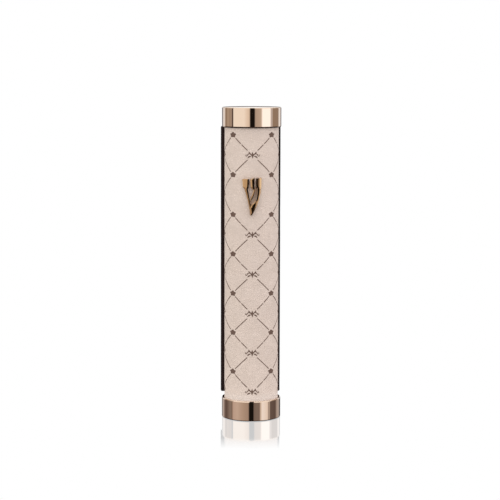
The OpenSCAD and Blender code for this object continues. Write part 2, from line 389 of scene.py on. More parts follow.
def grained(name, light, dark, cells, depth, roughness, lips=None, **plain):
    """Leatherette: two mottled tones under an embossed pebble grain, with painted shade that darkens the
    grain's hollows, and painted light next to the caps' lips if their heights are given: a shadow line under
    the upper one and a bounce glow above the lower one."""
    mat, tree, shader, place = material(name, light, roughness, **plain)
    tone = mottled(tree, place, 260.0, light, dark, 0.15).outputs["Color"]
    height = placed(tree, GRAIN, [("Place", place), ("Cells per metre", cells)]).outputs["Height"]
    # painted shade: the colour darkened where the grain is sunk
    hollow_shade = remap(tree, height, 0.35, 0.65, 0.26, 0.0)
    colour = mix_colour(tree, hollow_shade, tone, tuple(c * 0.5 for c in dark))
    # painted shadow under the upper cap's lip and painted bounce light above the lower one
    if lips:
        colour = lip_shadow_and_glow(tree, place, colour, *lips)
    tree.links.new(colour, shader.inputs["Base Color"])
    shine = remap(tree, height, 0.0, 1.0, roughness + 0.12, roughness - 0.06)
    tree.links.new(shine, shader.inputs["Roughness"])
    bump(tree, shader, height, depth)
    return mat


def polished(name, base, roughness, wear, stretch, depth=0.0003):
    """Polished metal with hairlines and smudges in its roughness."""
    mat, tree, shader, place = material(name, base, roughness, metallic=1.0)
    worn = placed(tree, POLISH, [("Place", place), ("Stretch", stretch), ("Base", roughness),
                                 ("Wear", wear)])
    tree.links.new(worn.outputs["Roughness"], shader.inputs["Roughness"])
    bump(tree, shader, worn.outputs["Height"], depth)
    return mat


def plain_stuff(name, light, dark, roughness, scale, speckle, depth):
    """Moulded, cut or pressed stuff: two close tones and a shallow even texture."""
    mat, tree, shader, place = material(name, light, roughness)
    tone = mottled(tree, place, scale, light, dark, speckle)
    tree.links.new(tone.outputs["Color"], shader.inputs["Base Color"])
    shine = remap(tree, tone.outputs["Amount"], 0.0, 1.0, roughness, min(1.0, roughness + 0.15))
    tree.links.new(shine, shader.inputs["Roughness"])
    bump(tree, shader, tone.outputs["Amount"], depth)
    return mat


rose_gold = polished("rose_gold_polish", (0.90, 0.72, 0.58), 0.025, 0.035, (0.06, 0.06, 1.0))
letter_gold = polished("letter_gold_polish", (0.62, 0.40, 0.215), 0.04, 0.04, (1.0, 1.0, 0.3))
dark_gold = polished("dark_gold_satin", (0.72, 0.62, 0.55), 0.45, 0.10, (1.0, 1.0, 0.3), 0.002)
cream_leatherette = grained("cream_leatherette", (0.762, 0.632, 0.546), (0.718, 0.589, 0.502), 1300.0, 0.28,
                            0.50, lips=(CAP_H, CASE_TOP - CAP_H), Specular_IOR_Level=0.4)
brown_leatherette = grained("brown_leatherette", (0.027, 0.014, 0.012), (0.014, 0.007, 0.007), 1500.0,
                            0.06, 0.50, Specular_IOR_Level=0.12)
tube_plastic = plain_stuff("tube_plastic", (0.82, 0.81, 0.78), (0.74, 0.73, 0.70), 0.45, 500.0, 0.2, 0.01)
plug_plastic = plain_stuff("plug_plastic", (0.05, 0.047, 0.045), (0.03, 0.028, 0.027), 0.42, 900.0, 0.4, 0.01)
ring_rubber = plain_stuff("ring_rubber", (0.018, 0.018, 0.018), (0.03, 0.03, 0.03), 0.55, 1200.0, 0.3, 0.01)
pad_felt = plain_stuff("pad_felt", (0.28, 0.05, 0.06), (0.14, 0.02, 0.03), 0.95, 1600.0, 0.8, 0.10)
glue_film = plain_stuff("glue_film", (0.72, 0.66, 0.45), (0.62, 0.56, 0.36), 0.25, 400.0, 0.3, 0.02)
tape_foam = plain_stuff("tape_foam", (0.52, 0.53, 0.55), (0.30, 0.31, 0.33), 0.9, 2200.0, 0.9, 0.06)
liner_paper = plain_stuff("liner_paper", (0.84, 0.87, 0.90), (0.76, 0.79, 0.83), 0.35, 700.0, 0.25, 0.004)
parchment_skin = plain_stuff("parchment_skin", (0.8, 0.68, 0.47), (0.64, 0.50, 0.31), 0.62, 180.0, 0.25, 0.03)
print_brown = plain_stuff("print_brown", (0.080, 0.044, 0.032), (0.15, 0.09, 0.065), 0.6, 2500.0, 0.6, 0.005)


def wood_grain():
    """Sanded board: long streaks along Z in two browns."""
    mat, tree, shader, place = material("board_wood", (0.50, 0.35, 0.21), 0.6)
    long = add(tree, "Mapping", [("Vector", place), ("Scale", (1.0, 1.0, 0.08))]).outputs[0]
    streaks = noise(tree, long, 900.0, 5.0)
    tree.links.new(ramp(tree, streaks, [(0.3, (0.33, 0.20, 0.11)), (0.7, (0.56, 0.40, 0.25))]),
                   shader.inputs["Base Color"])
    bump(tree, shader, streaks, 0.05)
    return mat


def clear_film():
    """Thin clear film, seen mostly by its shine and its few creases."""
    mat, tree, shader, place = material("sleeve_film", (0.92, 0.95, 0.97), 0.08, Alpha=0.16)
    long = add(tree, "Mapping", [("Vector", place), ("Scale", (1.0, 1.0, 0.15))]).outputs[0]
    bump(tree, shader, noise(tree, long, 350.0, 2.0), 0.08)
    return mat


board_wood = wood_grain()
sleeve_film = clear_film()


# ---------------------------------------------------------------- tube, plugs and caps

def cap_profile(crown, edge=0.45, lip=0.15, inner=0.3):
    """Section of a cup that stands on its closed end: out along the foot, which swells by a crown that
    falls with the square of the radius, round the edge, up the side, in along a narrow taper, over the
    lip, down the bore and back along the floor."""
    foot_r = CAP_R - edge
    out = np.linspace(0, 1, 25)[:-1]
    return np.concatenate([
        np.stack([foot_r * out, crown * out ** 2], axis=1),
        arc(foot_r, crown + edge, edge, -90, 0, 10),
        line((CAP_R, crown + edge + 0.05), (CAP_R, CAP_H - 0.42), 12),
        arc(CAP_R - 0.22, CAP_H - 0.08, 0.08, 25, 90, 6),
        arc(MOUTH_R + lip, CAP_H - lip, lip, 90, 180, 6),
        [[MOUTH_R, CAP_H - 1], [MOUTH_R, CAP_FLOOR + inner]],
        arc(MOUTH_R - inner, CAP_FLOOR + inner, inner, 0, -90, 4), [[0, CAP_FLOOR]],
    ])


def at_head(points):
    """Turns what stands at the foot of the case over to its head, by half a turn about the X axis."""
    return points * [1, -1, -1] + [0, 0, CASE_TOP]


def make_caps():
    """The two polished cups."""
    points, faces = lathe(cap_profile(0.0), 256)
    piece("bottom_cap_shell", points, faces, rose_gold, "case", "bottom_cap", crease=17)
    points, faces = lathe(cap_profile(0.2), 256)
    piece("top_cap_shell", at_head(points), faces, rose_gold, "cap", "top_cap", crease=17)


def softened(corners, r=0.2):
    """A section's outline with each inner corner replaced by a short Bezier bend of about radius r."""
    corners = np.asarray(corners, float)
    out = [corners[:1]]
    for before, at, after in zip(corners, corners[1:], corners[2:]):
        a = at + (before - at) * min(1, r / np.linalg.norm(before - at)) * 0.5
        b = at + (after - at) * min(1, r / np.linalg.norm(after - at)) * 0.5
        t = np.linspace(0, 1, 5)[:, None]
        out.append(a * (1 - t) ** 2 + 2 * at * t * (1 - t) + b * t ** 2)
    return np.concatenate([*out, corners[-1:]])


def make_plugs():
    """Both moulded plugs: a flange against the cap's floor, a hollow spigot in the tube, and in the
    top one a groove for the rubber ring."""
    glued, sliding = 0.03, 0.2      # clearance of a part that is glued in, and of one that comes out
    lead, roof, wall = 0.5, 2, 3.3
    flange_r = extent("bottom_plug", "x")[1]
    z0, z1 = extent("bottom_plug", "z")
    pad_z0 = extent("chamber_pad", "z")[0]
    chamber_r = extent("chamber_pad", "x")[1] + sliding
    spigot_r = BORE_R - glued
    seat = TUBE_Z[0]
    points, faces = lathe(softened([
        [0, z0], [flange_r, z0], [flange_r, seat], [spigot_r, seat], [spigot_r, z1 - lead],
        [spigot_r - lead, z1], [chamber_r, z1], [chamber_r, pad_z0], [0, pad_z0],
    ]), 128)
    piece("bottom_plug_moulding", points, faces, plug_plastic, "case", "bottom_plug")

    low, high = extent("top_cap_plug", "z")
    ring_z, ring_half = middle("plug_o_ring", "z"), span("plug_o_ring", "z") / 2
    groove_r = extent("plug_o_ring", "x")[1] - 2 * ring_half - 0.01
    groove_half = ring_half + 0.25
    spigot_r, hollow_r, seat = BORE_R - sliding, BORE_R - sliding - wall, TUBE_Z[1]
    points, faces = lathe(softened([
        [0, high - roof], [hollow_r, high - roof], [hollow_r, low], [spigot_r - lead, low],
        [spigot_r, low + lead],
        [spigot_r, ring_z - groove_half], [groove_r, ring_z - groove_half],
        [groove_r, ring_z + groove_half], [spigot_r, ring_z + groove_half], [spigot_r, seat],
        [flange_r, seat], [flange_r, high], [0, high],
    ]), 128)
    piece("top_plug_moulding", points, faces, plug_plastic, "cap", "top_cap_plug")

    ring_r = extent("plug_o_ring", "x")[1] - ring_half
    points, faces = lathe(arc(ring_r, ring_z, ring_half, 0, 360, 20)[:-1], 160)
    piece("rubber_ring", points, faces, ring_rubber, "cap", "plug_o_ring")


def make_tube(r=0.2):
    """The rigid tube, with its ends' edges rounded."""
    z0, z1 = TUBE_Z
    points, faces = lathe(np.concatenate([
        arc(TUBE_R - r, z0 + r, r, -90, 0, 4), arc(TUBE_R - r, z1 - r, r, 0, 90, 4),
        arc(BORE_R + r, z1 - r, r, 90, 180, 4), arc(BORE_R + r, z0 + r, r, 180, 270, 4),
    ]), 160)
    piece("rigid_tube", points, faces, tube_plastic, "case", "tube_core")


def ripple(a, b, seed, size):
    """A smooth unevenness over two coordinates: a sum of eight sine waves of falling height whose
    directions and phases come from a seeded draw."""
    rng = np.random.default_rng(seed)
    total = 0
    for octave in range(8):
        k = 2 ** (octave / 2)
        turn, phase = rng.uniform(0, TAU, 2)
        total = total + np.sin(k * (a * math.cos(turn) + b * math.sin(turn)) + phase) / k
    return size * total / 2


# ---------------------------------------------------------------- leatherette round the tube

SEAM = 0.3                     # between the sheet's two cut edges


def make_leather_wrap():
    """One sheet round the tube with its butt seam at the back: angle and height are the two parameters,
    the outer face wanders by a few hundredths, and the cut edges at the seam are rounded."""
    around, along = 220, 130
    seam = math.asin(SEAM / 2 / WRAP_R)
    a = np.linspace(seam, TAU - seam, around) + TAU / 4
    z = np.linspace(*TUBE_Z, along)
    a, z = np.meshgrid(a, z, indexing="ij")
    edge = np.minimum(np.arange(around), np.arange(around)[::-1])[:, None]
    rounded = 0.12 * np.exp(-edge / 1.5)
    outer = WRAP_R - 0.01 - rounded + ripple(a * WRAP_R * 0.35, z * 0.35, 7, 0.012).clip(-0.02, 0.01)
    inner = TUBE_R + 0 * a
    shell = np.stack([outer, inner])
    points = np.stack([shell * np.cos(a), shell * np.sin(a), z + 0 * shell], axis=-1)
    wrap = piece("cream_wrap", points.reshape(-1, 3), sheet_faces(around, along), cream_leatherette, "case",
                 "leather_wrap", crease=60)


# ---------------------------------------------------------------- the printed lattice

INK_T = 0.035                  # the print stands this far over the leatherette
COLUMN = WRAP_R * TAU / 8      # from one column of motifs to the next, along the surface
ROW = COLUMN * 0.929 * 2       # from one motif to the one above it in its column
ROWS = 7
FIRST_ROW = 13.1               # from the top of the case down to the first rosettes
RISING = [(0.15, 0.765)]       # dashes on a line up from a rosette, as shares of the line
FALLING = [(0.15, 0.435), (0.475, 0.765)]


def ribbon(path, width):
    """A flat strip of ink along a path on the unrolled surface. Four points at each station, two on top
    and two under it, make a closed bar of the given width (one number or one a station)."""
    path = np.asarray(path, float)
    ahead = np.gradient(path, axis=0)
    side = np.stack([-ahead[:, 1], ahead[:, 0]], axis=1) / np.linalg.norm(ahead, axis=1)[:, None]
    half = side * (np.asarray(width) / 2 * np.ones(len(path)))[:, None]
    flat = np.stack([path + half, path - half, path - half, path + half], axis=1)
    lift = np.array([INK_T, INK_T, -INK_T, -INK_T])
    points = np.concatenate([flat, np.broadcast_to(lift[None, :, None], (*flat.shape[:2], 1))], axis=2)
    end = np.array([[0, 1, 2, 3]])
    faces = [grid_faces(len(path), 4, wrap_cols=True), end[:, ::-1], end + 4 * (len(path) - 1)]
    return points.reshape(-1, 3), faces


def dash(p, q):
    """A straight stroke of ink with blunt ends."""
    return ribbon(line(p, q, 5), 0.40)


def swirl(cx, cy, start, end, r0, r1, width0, width1, steps=9, squeeze=0.85):
    """A stroke along a spiral about (cx, cy): the radius goes evenly from r0 to r1 between two angles
    in degrees, and the width from width0 to width1."""
    a = np.radians(np.linspace(start, end, steps + 1))
    r = np.linspace(r0, r1, steps + 1)
    path = np.stack([cx + r * np.cos(a), cy + squeeze * r * np.sin(a)], axis=1)
    return ribbon(path, np.linspace(width0, width1, steps + 1))


def mirrored(parts):
    """The strokes and their mirror images about the motif's middle."""
    flipped = [(p * [-1, 1, 1], [f[:, ::-1] for f in faces]) for p, faces in parts]
    return [*parts, *flipped]


def leaf(p, q, width, bend=0.0, steps=6):
    """A pointed stroke from p to q that swells like half a sine wave and bends to its left."""
    p, q = np.asarray(p, float), np.asarray(q, float)
    t = np.linspace(0, 1, steps + 1)
    swell = np.sin(np.pi * t)
    left = np.array([p[1] - q[1], q[0] - p[0]])
    path = p + t[:, None] * (q - p) + bend * swell[:, None] * left
    return ribbon(path, 0.06 + width * swell)


def rosette(lobes=5, steps=50):
    """A solid little flower, wider than tall, whose radius swells and shrinks five times round, with
    one petal on top."""
    a = np.arange(steps) * TAU / steps
    r = 1.40 + 0.20 * np.sin(lobes * a)
    rim = np.stack([1.2 * r * np.cos(a), 0.85 * r * np.sin(a)], axis=1)
    rings = [np.column_stack([rim * k, np.full(steps, h)])
             for k, h in ((0.02, INK_T), (1, INK_T), (1, -INK_T), (0.02, -INK_T))]
    caps = np.arange(steps)[None, :]
    faces = [grid_faces(4, steps, wrap_cols=True)[:, ::-1], caps, caps[:, ::-1] + 3 * steps]
    return [(np.concatenate(rings), faces)]


def flourish():
    """A garland end to end: a lozenge in the middle and, to either side of it, a tendril that ends in
    a curl, with a leaf over it and another under it."""
    tendril = bezier((0.35, -0.1), (1.2, 1.1), (2.0, 0.7), (2.45, -0.2), 10)
    half = [
        ribbon(tendril, np.linspace(0.50, 0.34, 11)),
        swirl(2.75, -0.1, 200, 450, 0.32, 0.44, 0.34, 0.16, 8),
        leaf((0.55, -0.4), (2.3, -1.3), 0.56, 0.12),
        leaf((0.85, 0.7), (1.7, 1.5), 0.46, -0.15),
    ]
    whole = [*mirrored(half), leaf((0, -1.4), (0, 1.4), 0.8)]
    size = [1.05, 1.12, 1]
    return [(points * size, faces) for points, faces in whole]


def at(parts, u, z):
    """The strokes moved to a place on the unrolled surface."""
    return [(p + [u, z, 0], faces) for p, faces in parts]


def lattice():
    """Every stroke of the print. Rosettes stand in the four columns between the main ones, flourishes
    in the main ones half a row lower, and on each line from one to the other lie one long dash or two.
    The place of the letter is left free, and nothing runs up from the first row."""
    letter_z = middle("emblem_letter", "z")
    top = CASE_TOP - FIRST_ROW
    strokes = []
    for column in (-3, -1, 1, 3):
        for row in range(ROWS):
            u, z = column * COLUMN, top - row * ROW
            strokes += at(rosette(), u, z)
            for du in (-COLUMN, COLUMN):
                for dz in (-ROW / 2, ROW / 2):
                    to_letter = abs(u + du) < 1 and abs(z + dz - letter_z) < ROW / 4
                    if to_letter or z + dz > top:
                        continue
                    for near, far in RISING if dz > 0 else FALLING:
                        strokes.append(dash((u + du * near, z + dz * near), (u + du * far, z + dz * far)))
    for column in (-2, 0, 2, 4):
        for row in range(ROWS):
            z = top - (row + 0.5) * ROW
            if column or abs(z - letter_z) > ROW / 4:
                strokes += at(flourish(), column * COLUMN, z)
    return join(strokes)


def make_print():
    """Rolls the flat print round the wrapped tube: a length along the surface becomes an angle."""
    flat, faces = lattice()
    low, high = TUBE_Z[0] + 0.5, TUBE_Z[1] - 0.5
    angle = flat[:, 0] / WRAP_R - TAU / 4
    r = WRAP_R + flat[:, 2]
    points = np.stack([r * np.cos(angle), r * np.sin(angle), flat[:, 1].clip(low, high)], axis=1)
    piece("lattice_print", points, faces, print_brown, "case", crease=60)


# ---------------------------------------------------------------- the letter

LETTER_Z = extent("emblem_letter", "z")
UNIT = span("emblem_letter", "z") / 17.9    # the letter's grid has 17.9 units from tip to head
LETTER_X = middle("emblem_letter", "x") - 0.3 * UNIT    # its tip, to the side of the front's middle
LETTER_T = -WRAP_R - extent("emblem_letter", "y")[0]

LEFT_OUTER = bezier((-0.35, 0), (-1.1, 5), (-1.7, 8), (-3.2, 12.5))
LEFT_INNER = bezier((-1.6, 12.5), (-1.35, 10.2), (-0.85, 8.8), (-0.75, 6.8))
MIDDLE_LEFT = bezier((-0.75, 6.8), (-0.1, 8.6), (0.8, 10), (1.15, 12.3))
MIDDLE_RIGHT = bezier((1.85, 12.3), (1.6, 9.9), (0.5, 8), (-0.6, 6.3))
RIGHT_INNER = bezier((2.4, 7.1), (2.8, 8.8), (3.1, 10.5), (3.2, 12.8))
RIGHT_OUTER = bezier((4.6, 12.2), (4.3, 8.2), (2.6, 3.6), (0.15, 0))
CROTCH = (-0.3, 4.3)
STROKES = np.concatenate([
    LEFT_OUTER, [(-4, 13.6), (-4.25, 17.2), (-1.05, 17.4), (-1.2, 13.6)],
    LEFT_INNER, MIDDLE_LEFT, [(0.5, 12.4), (-0.25, 13.5), (-0.45, 17), (1.55, 17.9), (1.4, 13.5)],
    MIDDLE_RIGHT, [CROTCH], RIGHT_INNER,
    [(2.6, 13), (2.3, 14.8), (2.3, 17.6), (4.85, 17.8), (4.8, 13.6)], RIGHT_OUTER,
])
WEB = np.concatenate([MIDDLE_RIGHT, [CROTCH], RIGHT_INNER, [(3.3, 13.4), (1.3, 13.4)]])


def drop(points, outline):
    """Drops every point onto every edge of a closed outline at once. Returns the feet, the gaps, each
    edge's share of upward direction in its normal, and which points are inside: those from which a ray
    to the right crosses the outline an odd number of times."""
    a, b = outline, np.roll(outline, -1, axis=0)
    keep = np.linalg.norm(b - a, axis=1) > 1e-9
    a, b = a[keep], b[keep]
    d = b - a
    t = ((points[:, None] - a) * d).sum(2) / (d * d).sum(1)
    foot = a + t.clip(0, 1)[..., None] * d
    gap = np.linalg.norm(points[:, None] - foot, axis=2)
    x, y = points[:, :1], points[:, 1:]
    spans = (a[:, 1] > y) != (b[:, 1] > y)
    cut = a[:, 0] + (y - a[:, 1]) * d[:, 0] / np.where(d[:, 1] == 0, 1e-12, d[:, 1])
    inside = (spans & (x < cut)).sum(1) % 2 == 1
    return foot, gap, abs(d[:, 0]) / np.linalg.norm(d, axis=1), inside


def stroke_front(points):
    """How far in front of the axis each point of a stroke's face lies. The face is a shallow vault that
    turns less than the case does, another on the three heads than under them, and falls away in narrow
    facets along its edges: steeper ones along level edges, and steeper and deeper ones down the right
    side."""
    u, v = points.T
    foot, gap, level = drop(points, STROKES)[:3]
    upright, right, flat = (math.tan(math.radians(a)) for a in (7, 22, 21))
    is_right = (foot[..., 0] > 0.33 * foot[..., 1] + 0.1) & (foot[..., 1] < 12.3)
    steep = np.where(is_right, right, np.interp(level, [0.5, 0.8], [upright, flat]))
    deep = np.where(is_right, 0.2, 0.09)
    fall = (deep - gap * steep * UNIT).max(1).clip(0, None)
    x = np.linspace(-6, 6, 121)
    heads = np.interp(x, [-3.3, -0.1, 1.0, 1.6, 3.1, 3.35, 4.2], [-8.5, -4.2, -4.2, 3, 4.5, 20, 22])
    stem = np.interp(x, [-3.3, -0.1, 0.9, 1.4, 2.0, 4.0], [-8.5, -4.2, -3, 3, 8, 9])
    vaults = []
    for turn in (stem, heads):
        vault = -np.cumsum(np.tan(np.radians(turn))) * (x[1] - x[0])
        vaults.append(np.interp(u * UNIT + LETTER_X, x, vault - vault.max()))
    return WRAP_R + LETTER_T + np.where(v > 12.6, vaults[1], vaults[0]) - fall


def web_front(points):
    """The web follows the case, low between the strokes, and is cut with fine grooves along them."""
    u, v = points.T
    x = u * UNIT + LETTER_X
    groove = 0.5 + 0.5 * np.cos((u * 0.94 - v * 0.30 + 0.012 * v ** 2) * TAU / 0.62)
    return np.sqrt((WRAP_R + 0.62) ** 2 - x ** 2) - 0.16 * groove ** 2


def relief(outline, front, step):
    """A closed plate over an outline. Cells of a fine grid whose middle is inside are kept, their rim
    is moved onto the nearest point of the outline, a copy follows the leatherette behind, and walls
    join the two along the rim."""
    low, high = outline.min(0) - step, outline.max(0) + 2 * step
    u, v = np.arange(low[0], high[0], step), np.arange(low[1], high[1], step)
    flat = np.stack(np.meshgrid(u, v, indexing="ij"), axis=-1).reshape(-1, 2)
    quads = grid_faces(len(u), len(v))[:, ::-1]
    quads = quads[drop(flat[quads].mean(1), outline)[3]]
    edges = quads[:, [[0, 1], [1, 2], [2, 3], [3, 0]]].reshape(-1, 2)
    key = edges[:, 0] * len(flat) + edges[:, 1]
    rim = edges[~np.isin(key, edges[:, 1] * len(flat) + edges[:, 0])]
    on_rim = np.unique(rim)
    foot, gap = drop(flat[on_rim], outline)[:2]
    flat[on_rim] = foot[np.arange(len(on_rim)), gap.argmin(1)]
    used, quads = np.unique(quads, return_inverse=True)
    quads, rim, flat = quads.reshape(-1, 4), np.searchsorted(used, rim), flat[used]
    x, z = flat[:, 0] * UNIT + LETTER_X, flat[:, 1] * UNIT + LETTER_Z[0]
    back = np.sqrt((WRAP_R + 0.02) ** 2 - x ** 2)
    n = len(flat)
    points = np.concatenate([np.stack([x, -y, z], axis=1) for y in (front(flat), back)])
    walls = np.stack([rim[:, 1], rim[:, 0], rim[:, 0] + n, rim[:, 1] + n], axis=1)
    return points, [quads, quads[:, ::-1] + n, walls]


def make_letter():
    """The gold strokes with the two studs behind them, and the darker web between two strokes."""
    studs = [stud(LETTER_Z[0] + k * UNIT) for k in (4, 15)]
    points, faces = join([relief(STROKES, stroke_front, 0.065), *studs])
    piece("gold_letter", points, faces, letter_gold, "case", "emblem_letter", crease=30)
    points, faces = relief(WEB, web_front, 0.075)
    piece("letter_web", points, faces, dark_gold, "case", crease=40)


def stud(z):
    """A short round stud that points back through the front wall, with a broken edge at its end."""
    tip, root, r = BORE_R + 0.3, WRAP_R + 0.3, 0.75
    points, faces = lathe([[0, tip], [r - 0.2, tip], [r, tip + 0.2], [r, root], [0, root]], 24)
    turned = np.stack([points[:, 0] + 0.5 * UNIT + LETTER_X, -points[:, 2], points[:, 1] + z], axis=1)
    return turned, faces


# ---------------------------------------------------------------- the back board

BOARD_X = extent("back_board_wrap", "x")[1]
BOARD_Y = extent("back_board_wrap", "y")
BOARD_Z = extent("back_board_wrap", "z")
GLUE_T = 0.15
TROUGH_R = WRAP_R + GLUE_T
BOARD_SKIN = 0.5               # thickness of the leatherette round the board


def board_section(inset):
    """The board's plan outline without its trough, shrunk by an inset: from the trough's left edge out
    to the left, round the back and in to the trough's right edge. Every point in front has one
    straight behind it, so that the outline closes to a line as the inset grows."""
    w, y0, y1 = BOARD_X - inset, BOARD_Y[0] + inset, BOARD_Y[1] - inset
    r = min(max(1.0 - inset, 0.05), (y1 - y0) / 2)
    trough = math.sqrt(TROUGH_R ** 2 - min(y0, TROUGH_R) ** 2)
    left = np.concatenate([
        line((-trough, y0), (r - w, y0), 12)[:-1], arc(r - w, y0 + r, r, 270, 180, 6)[:-1],
        line((-w, y0 + r), (-w, y1 - r), 3)[:-1], arc(r - w, y1 - r, r, 180, 90, 6)[:-1],
        line((r - w, y1), (-trough, y1), 12)[:-1], line((-trough, y1), (0, y1), 12),
    ])
    return np.concatenate([left, left[::-1][1:] * [-1, 1]])


def board_skin(inset):
    """A grid over the board's outside, or over a parallel surface inside it. Going up it, the outline
    opens from a line at the foot over the end, rounds the end's edge, runs up and closes again."""
    half = (BOARD_Y[1] - BOARD_Y[0]) / 2 - inset
    z0, z1 = BOARD_Z[0] + inset, BOARD_Z[1] - inset
    r = max(0.15, 0.6 - inset)
    turn = np.radians(np.linspace(0, 90, 7))
    shrink = np.concatenate([np.linspace(half, r, 5)[:-1], r * (1 - np.sin(turn))])
    rise = np.concatenate([np.zeros(4), r * (1 - np.cos(turn))])
    straight = np.linspace(z0 + r, z1 - r, 110)[1:-1]
    insets = np.concatenate([shrink, 0 * straight, shrink[::-1]]) + inset
    heights = np.concatenate([z0 + rise, straight, z1 - rise[::-1]])
    sections = np.stack([board_section(s) for s in insets])
    return np.concatenate([sections, np.broadcast_to(heights[:, None, None], (*sections.shape[:2], 1))],
                          axis=2)


def make_board_wrap():
    """Leatherette round the board: an outer and an inner skin, joined along both edges of the trough.
    The outer one wanders by a few hundredths, as leatherette pulled round an edge does."""
    outer, inner = board_skin(0.0), board_skin(BOARD_SKIN)
    rows, cols = outer.shape[:2]
    x, y, z = np.moveaxis(outer, -1, 0)
    across = np.arange(cols)[None, :] * 0.12
    wander = ripple(z * 0.9, across * 8, 21, 0.03) + ripple(z * 0.12, across * 4, 22, 0.03)
    wander = wander.clip(-0.07, 0.0)
    wander[:5] = wander[-5:] = 0
    sides = np.stack([np.sign(x) * (abs(x) > BOARD_X - 1.2), np.sign(y - BOARD_Y[0] - 1.5), 0 * x], axis=-1)
    outer += sides * wander[..., None]
    points = np.concatenate([outer.reshape(-1, 3), inner.reshape(-1, 3)])
    wrap = piece("brown_wrap", points, sheet_faces(rows, cols, ends=False), brown_leatherette, "case",
                 "back_board_wrap", crease=55, merge=0.004)


# ---------------------------------------------------------------- wall tape

def slab(w, h, y0, y1, zc, r=1.5, bulge=0.0, edge=0.03):
    """A flat sheet with round corners that stands across Y: its outline is carried through the
    thickness, a little smaller at both faces, and the sides bulge by the given amount."""
    corner = np.concatenate([
        arc(w / 2 - r, h / 2 - r, r, 0, 90), arc(r - w / 2, h / 2 - r, r, 90, 180),
        arc(r - w / 2, r - h / 2, r, 180, 270), arc(w / 2 - r, r - h / 2, r, 270, 360),
    ])
    n = len(corner)
    reach = np.linalg.norm(corner, axis=1, keepdims=True)
    depth = [0, 0.04, 0.25, 0.5, 0.75, 0.96, 1]
    out = [-edge, 0, 0.7 * bulge, bulge, 0.7 * bulge, 0, -edge]
    fill = [0.93, 0.6, 0.25, 0.02]      # rings that shrink to the middle of each face
    rings = [(corner * f, 0) for f in fill[::-1]]
    rings += [(corner * (1 + o / reach), d) for d, o in zip(depth, out)]
    rings += [(corner * f, 1) for f in fill]
    points = np.concatenate([np.column_stack([ring[:, 0], np.full(n, y0 + (y1 - y0) * d), ring[:, 1] + zc])
                             for ring, d in rings])
    first = np.arange(n)[None, :]
    faces = [grid_faces(len(rings), n, wrap_cols=True)[:, ::-1], first,
             first[:, ::-1] + (len(rings) - 1) * n]
    return points, faces


def make_wall_tape():
    """Two foam tapes on the board's back, each under a liner that stands out round it."""
    bulge = 0.08
    for place in ("upper", "lower"):
        tape, liner = "wall_tape_" + place, "tape_liner_" + place
        w, h = (span(tape, axis) - 2 * bulge for axis in "xz")
        points, faces = slab(w, h, *extent(tape, "y"), middle(tape, "z"), bulge=bulge)
        foam = piece("foam_" + tape, points, faces, tape_foam, "case", tape, crease=60)
        points, faces = slab(span(liner, "x"), span(liner, "z"), *extent(liner, "y"), middle(liner, "z"),
                             edge=0.02)
        piece("paper_" + liner, points, faces, liner_paper, "case", liner, crease=60)


# ---------------------------------------------------------------- what the case holds

def make_pad():
    """The felt disc, with soft edges."""
    z0, z1 = extent("chamber_pad", "z")
    r = extent("chamber_pad", "x")[1]
    points, faces = lathe(np.concatenate([
        [[0, z0]], arc(r - 0.3, z0 + 0.3, 0.3, -90, 0, 5), arc(r - 0.4, z1 - 0.4, 0.4, 0, 90, 6), [[0, z1]],
    ]), 96)
    pad = piece("felt_pad", points, faces, pad_felt, "case", "chamber_pad")


def make_scroll():
    """The parchment roll: a strip of even thickness along a spiral whose radius grows by one pitch a
    turn, with soft long edges and turns that stand a little higher or lower than each other."""
    z0, z1 = extent("scroll_parchment", "z")
    out_r = extent("scroll_sleeve", "x")[1] - 0.25
    pitch, thick = 0.45, 0.26
    core_r = math.sqrt(out_r ** 2 - (z1 - z0) * pitch / math.pi)
    turns = (out_r - 0.3 - core_r) / pitch
    steps, along = 230, 26
    a = np.linspace(0, TAU * turns, steps + 1)[:, None]
    v = np.linspace(0, 1, along + 1)[None, :]
    end = np.minimum(v, 1 - v) * (z1 - z0)
    soft = 1 - np.exp(-end / 0.15)
    shift = 0.25 * np.sin(a * 0.7 + 1) * (2 * v - 1)
    z = z0 + 0.3 + v * (z1 - z0 - 0.6) + shift
    r = core_r + pitch * a / TAU + 0.15 + 0.04 * np.sin(a * 3 + z * 0.08)
    sides = [r + s * thick * (0.25 + 0.25 * soft) for s in (1, -1)]
    grids = [np.stack([q * np.cos(a), q * np.sin(a), z + 0 * q], axis=-1).reshape(-1, 3) for q in sides]
    roll = piece("parchment_roll", np.concatenate(grids), sheet_faces(steps + 1, along + 1),
                 parchment_skin, "scroll", "scroll_parchment", crease=60)


def make_sleeve():
    """The clear sleeve: a thin tube whose film laps over itself along one side."""
    z0, z1 = extent("scroll_sleeve", "z")
    r_out = extent("scroll_sleeve", "x")[1]
    thick, around, along = 0.05, 150, 40
    a = np.linspace(0, TAU + 0.5, around)[:, None]
    z = np.linspace(z0, z1, along)[None, :]
    step_out = 0.07 * (1 / (1 + np.exp(-(a - TAU + 0.15) * 30)) - 1)
    r = r_out - 0.01 + step_out + 0 * z
    grids = [np.stack([q * np.cos(a), q * np.sin(a), z + 0 * q], axis=-1).reshape(-1, 3)
             for q in (r, r - thick)]
    piece("clear_sleeve", np.concatenate(grids), sheet_faces(around, along), sleeve_film, "scroll",
          "scroll_sleeve", crease=60)


# ---------------------------------------------------------------- studio

def make_camera():
    """Long lens a little to the left of the front, higher than the case, tilted down and rolled by an
    eighth of a degree."""
    azimuth, tilt, roll = math.radians(-2.0), math.radians(6.361), math.radians(0.124)
    data = bpy.data.cameras.new("camera")
    data.lens, data.sensor_width = 123.33, 36.0
    data.clip_start = 0.01
    camera = bpy.data.objects.new("camera", data)
    turn = Matrix.Rotation(azimuth, 4, "Z")
    look = Matrix.Rotation(math.pi / 2 - tilt, 4, "X") @ Matrix.Rotation(roll, 4, "Z")
    camera.matrix_world = turn @ Matrix.Translation((-0.00068, -0.820, 0.1725)) @ look
    bpy.context.scene.collection.objects.link(camera)
    bpy.context.scene.camera = camera


